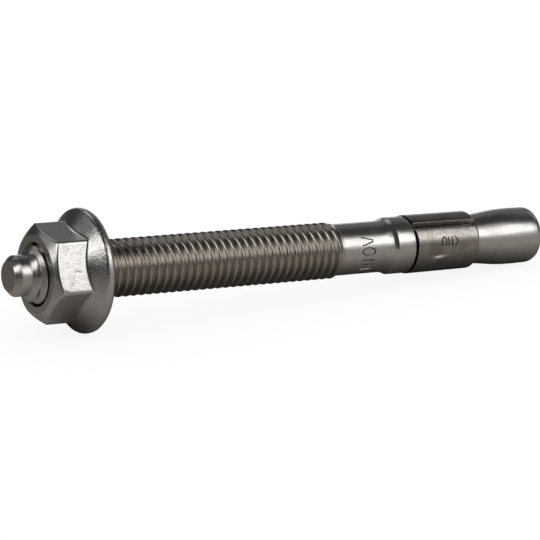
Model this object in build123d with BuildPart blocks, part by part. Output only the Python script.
from build123d import *
import os
from math import asin, atan2, ceil, cos, degrees, radians, sin, tan

# Wedge anchor, M10 by 105: a cone bolt, the expansion clip rolled round its neck, and a flange nut.
# It lies at rest on z = 0, held up by the rim of the nut's flange and the rim of its cone head.
# Places along the stud are counted from the face of its dog point, and clock angles about the
# stud are counted upwards from the front, which is -Y.

# Dog point
dog_tip_radius = 2.75
dog_radius = 3.45
dog_bevel = 0.85
dog_length = 2.9

# Rolled thread, M10 x 1.5, right hand
pitch = 1.5
thread_radius = 4.93
thread_root_radius = 4.2
thread_flank = 30
thread_last = 61.4
runout = 1.5
envelope_rise = 0.3
thread_origin = 2.95
ridge_sink = 0.05
ridge_turns = 2

# Plain shank, collar and the neck that the clip sits in
shank_radius = 4.5
ramp_start = 72.3
collar_start = 74.1
collar_end = 77.5
collar_radius = 5.0
collar_bevel = 0.2
neck_radius = 3.95

# Cone head
cone_start = 88.6
cone_end = 98.9
head_radius = 5.02
head_round = 2.45
stud_length = 105.5

# Expansion clip, rolled from sheet, with an open seam and three pressed bumps
clip_start = 78.05
clip_end = 91.3
clip_bore_radius = 4.05
clip_radius = 5.2
clip_taper = 0.1
clip_nose = 1.4
clip_nose_drop = 0.45
clip_mouth_radius = 4.33
clip_mouth = 3.0
edge_bevel = 0.15
seam_gap = 1.35
seam_clock = 50
bump_start = 81.0
bump_length = 5.2
bump_height = 0.22
bump_arc = 26
bump_clocks = (seam_clock - 81.5, seam_clock + 81.5, seam_clock + 180)

# Flange nut, 15 mm across flats
nut_bearing = 14.65
nut_height = 9.75
nut_flats = 14.8
nut_corner_radius = 8.42
nut_corner_clock = 49
nut_chamfer = 30
nut_face_radius = 6.6
flange_radius = 10.5
flange_rim = 1.9
flange_slope = 32
rim_bevel = 0.5
nut_bore_radius = thread_radius + 0.05
countersink_radius = 5.4

# The lying pose: one line touches the corner of the flange's rim and the rounded rim of the head.
rim_back = nut_bearing - rim_bevel
rise = flange_radius - (head_radius - head_round)
reach = stud_length - head_round - rim_back
tilt = atan2(rise, reach) - asin(head_round / (rise**2 + reach**2) ** 0.5)
tip_height = rim_back * sin(tilt) + flange_radius * cos(tilt)
face_offset = head_radius - head_round - dog_tip_radius
tip_x = -(stud_length * cos(tilt) + face_offset * sin(tilt)) / 2

tip = Vector(tip_x, 0, tip_height)
along = Vector(cos(tilt), 0, -sin(tilt))
stud_axis = Axis(tip, along)


def radial(clock):
    """The direction away from the stud's axis at a clock angle."""
    up = Vector(sin(tilt), 0, cos(tilt))
    return Vector(0, -1, 0) * cos(radians(clock)) + up * sin(radians(clock))


def lengthwise(clock):
    """A plane through the stud's axis: x along the stud from its tip, y out at the clock angle."""
    return Plane(origin=tip, x_dir=along, z_dir=along.cross(radial(clock)))


def across(place, clock=0):
    """A plane square to the stud at a place along it, with x out at the clock angle."""
    return Plane(origin=tip + along * place, x_dir=radial(clock), z_dir=along)


# One length of the thread's ridge, swept along its helix. Set end to end, such lengths make the
# whole thread, and the envelope trims the first and the last: the ridge rises out of the lead-in
# chamfer and fades into the plain shank.
ridge_foot = thread_root_radius - ridge_sink
ridge_half_width = (thread_radius - ridge_foot) * tan(radians(thread_flank))
ridge_length = ridge_turns * pitch
thread_first = dog_length + thread_radius - dog_radius
thread_end = thread_last + runout
with BuildPart() as ridge:
    with BuildLine() as helix:
        Helix(pitch, ridge_length, ridge_foot, center=tip + along * thread_origin, direction=along)
    outward = (helix.line @ 0 - tip - along * thread_origin).normalized()
    with BuildSketch(Plane(tip, along, along.cross(outward))) as ridge_section:
        with BuildLine():
            Polyline(
                (thread_origin - ridge_half_width, ridge_foot),
                (thread_origin, thread_radius),
                (thread_origin + ridge_half_width, ridge_foot),
                close=True,
            )
        make_face()
    sweep(path=helix.line, is_frenet=True)

with BuildPart() as thread_envelope:
    with BuildSketch(lengthwise(0)) as envelope_section:
        with BuildLine():
            Polyline(
                (dog_length, 0),
                (dog_length, dog_radius),
                (thread_first + envelope_rise, thread_radius + envelope_rise),
                (thread_last - envelope_rise, thread_radius + envelope_rise),
                (thread_end, shank_radius - 0.1),
                (thread_end, 0),
                close=True,
            )
        make_face()
    revolve(axis=stud_axis)

# The stud, one turned and rolled piece from dog point to cone head.
root_start = dog_length + thread_root_radius - dog_radius
ridge_count = ceil((thread_end - thread_origin) / ridge_length)
with BuildPart() as stud:
    with BuildSketch(lengthwise(0)) as stud_section:
        with BuildLine():
            FilletPolyline(
                (0, 0),
                (0, dog_tip_radius),
                (dog_bevel, dog_radius),
                (dog_length, dog_radius),
                (root_start, thread_root_radius),
                (thread_last, thread_root_radius),
                (thread_end, shank_radius),
                (ramp_start, shank_radius),
                (collar_start, collar_radius),
                (collar_end - collar_bevel, collar_radius),
                (collar_end, collar_radius - collar_bevel),
                (collar_end, neck_radius),
                (cone_start, neck_radius),
                (cone_end, head_radius),
                (stud_length, head_radius),
                (stud_length, 0),
                radius=(0, 0, 0, 0, 0, 0, 0, 0, 0, 0, 0, 0, 0, 0, head_round, 0),
                close=True,
            )
        make_face()
    revolve(axis=stud_axis)
    for count in range(ridge_count):
        ridge_part = ridge.part.moved(Location(along * count * ridge_length))
        if count in (0, ridge_count - 1):
            ridge_part = ridge_part & thread_envelope.part
        add(ridge_part)
stud.part.label = "stud"

# The expansion clip: a sleeve with a thinned nose, slit along its seam.
nose_start = clip_end - clip_nose
tail_radius = clip_radius - clip_taper
with BuildPart() as expansion_clip:
    with BuildSketch(lengthwise(0)) as clip_section:
        with BuildLine():
            Polyline(
                (clip_start, clip_bore_radius),
                (clip_start, clip_radius - edge_bevel),
                (clip_start + edge_bevel, clip_radius),
                (nose_start, tail_radius),
                (clip_end, tail_radius - clip_nose_drop),
                (clip_end, clip_mouth_radius),
                (clip_end - clip_mouth, clip_bore_radius),
                close=True,
            )
        make_face()
    revolve(axis=stud_axis)
    for clock in bump_clocks:
        with BuildSketch(lengthwise(clock - bump_arc / 2)) as bump_section:
            with BuildLine():
                Polyline(
                    (bump_start, clip_bore_radius + 0.4),
                    (bump_start, clip_radius + bump_height - 0.1),
                    (bump_start + 0.2, clip_radius + bump_height),
                    (bump_start + 1.2, clip_radius + bump_height),
                    (bump_start + bump_length, tail_radius - 0.1),
                    (bump_start + bump_length, clip_bore_radius + 0.4),
                    close=True,
                )
            make_face()
        revolve(axis=stud_axis, revolution_arc=bump_arc)
    seam_middle = (clip_start + clip_end) / 2
    with BuildSketch(Plane(tip + along * seam_middle, along, radial(seam_clock))) as seam:
        Rectangle(clip_end - clip_start + 4, seam_gap)
    extrude(amount=clip_radius + 1, mode=Mode.SUBTRACT)
expansion_clip.part.label = "expansion_clip"

# The flange nut: a chamfered hexagon on a sloping round flange.
nut_face = nut_bearing - nut_height
corner_place = nut_face + (nut_corner_radius - nut_face_radius) * tan(radians(nut_chamfer))
rim_front = nut_bearing - flange_rim
slope_top = rim_front - (flange_radius - rim_bevel) * tan(radians(flange_slope))
with BuildPart() as flange_nut:
    with BuildSketch(across(nut_face, nut_corner_clock)) as hexagon:
        RegularPolygon(nut_flats / 2, 6, major_radius=False)
    extrude(amount=nut_height - 1)
    with BuildSketch(lengthwise(0)) as chamfered_blank:
        with BuildLine():
            Polyline(
                (nut_face, 0),
                (nut_face, nut_face_radius),
                (corner_place, nut_corner_radius),
                (nut_bearing, nut_corner_radius),
                (nut_bearing, 0),
                close=True,
            )
        make_face()
    revolve(axis=stud_axis, mode=Mode.INTERSECT)
    with BuildSketch(lengthwise(0)) as flange_section:
        with BuildLine():
            Polyline(
                (slope_top, 0),
                (rim_front, flange_radius - rim_bevel),
                (rim_front + rim_bevel, flange_radius),
                (rim_back, flange_radius),
                (nut_bearing, flange_radius - rim_bevel),
                (nut_bearing, 0),
                close=True,
            )
        make_face()
    revolve(axis=stud_axis)
    with BuildSketch(lengthwise(0)) as bore_section:
        with BuildLine():
            Polyline(
                (nut_face, 0),
                (nut_face, countersink_radius),
                (nut_face + countersink_radius - nut_bore_radius, nut_bore_radius),
                (nut_bearing - countersink_radius + nut_bore_radius, nut_bore_radius),
                (nut_bearing, countersink_radius),
                (nut_bearing, 0),
                close=True,
            )
        make_face()
    revolve(axis=stud_axis, mode=Mode.SUBTRACT)
flange_nut.part.label = "flange_nut"

os.makedirs("parts", exist_ok=True)
for piece in (stud, expansion_clip, flange_nut):
    export_step(piece.part, f"parts/{piece.part.label}.step")
    print(piece.part.label, round(piece.part.volume, 1), "mm3", len(piece.part.solids()), "solid")
print("tilt", round(degrees(tilt), 2), "tip", round(tip_x, 2), round(tip_height, 2))
